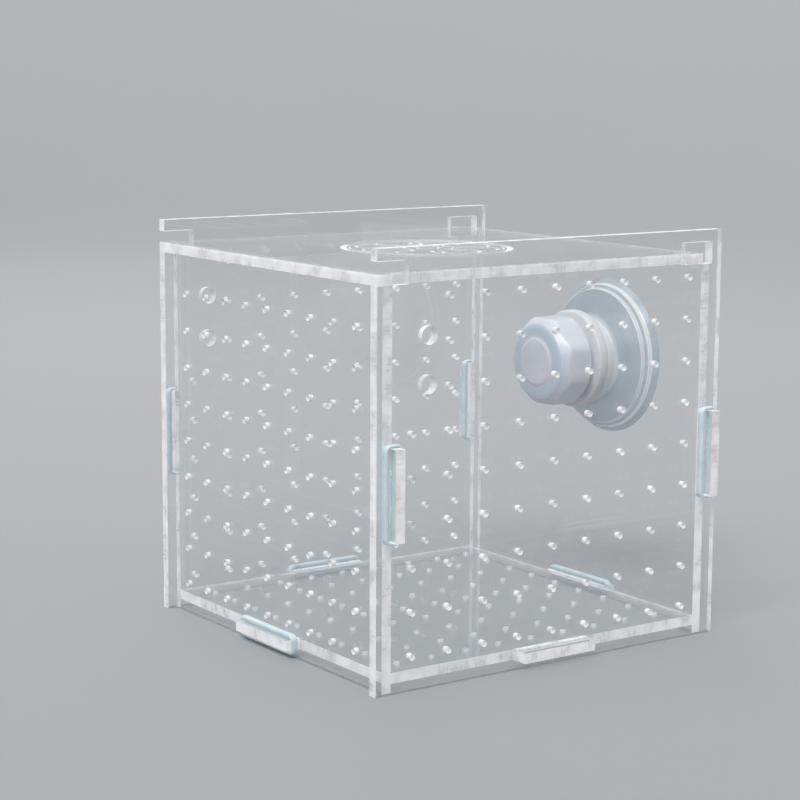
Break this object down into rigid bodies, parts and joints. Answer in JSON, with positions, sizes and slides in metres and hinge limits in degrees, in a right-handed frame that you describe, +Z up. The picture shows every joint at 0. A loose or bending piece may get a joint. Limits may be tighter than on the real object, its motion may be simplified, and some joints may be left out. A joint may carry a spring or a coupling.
{
  "type": "aquarium isolation box",
  "caption": "Clear acrylic holding box with small water holes, tab and slot joints locked by silicone bands, a sliding lid on ears, and a suction cup with a grip knob.",
  "frame": {"origin": "middle of the finished part's underside, on the surface that the box stands on", "axes": "+X to the right, the way the suction cup faces; +Y from the front panel to the back panel; +Z up"},
  "size_m": [0.1282, 0.124, 0.119],
  "materials": {
    "acrylic": "clear polished sheet with laser-cut edges",
    "silicone": "satin, translucent light blue",
    "cup": "glossy, translucent",
    "knob": "satin, milky translucent"
  },
  "bodies": {
    "box": {"front_panel": "acrylic", "back_panel": "acrylic", "left_side_panel": "acrylic", "right_side_panel": "acrylic", "bottom_plate": "acrylic", "band_front_left": "silicone", "band_front_right": "silicone", "band_back_left": "silicone", "band_back_right": "silicone", "band_bottom_left": "silicone", "band_bottom_right": "silicone", "band_bottom_back": "silicone"},
    "lid": {"lid": "acrylic"},
    "cup": {"suction_cup": "cup", "washer": "cup"},
    "knob": {"knob": "knob"}
  },
  "joints": [
    {"name": "lid_slide", "type": "slide", "parent": "box", "child": "lid", "axis": [1, 0, 0], "range_m": [-0.0022, 0.0032]},
    {"name": "cup_spin", "type": "hinge", "parent": "box", "child": "cup", "pos_m": [0.05185, 0, 0.0755], "axis": [1, 0, 0], "continuous": true},
    {"name": "knob_spin", "type": "hinge", "parent": "cup", "child": "knob", "pos_m": [0.03935, 0, 0.0755], "axis": [1, 0, 0], "continuous": true}
  ]
}
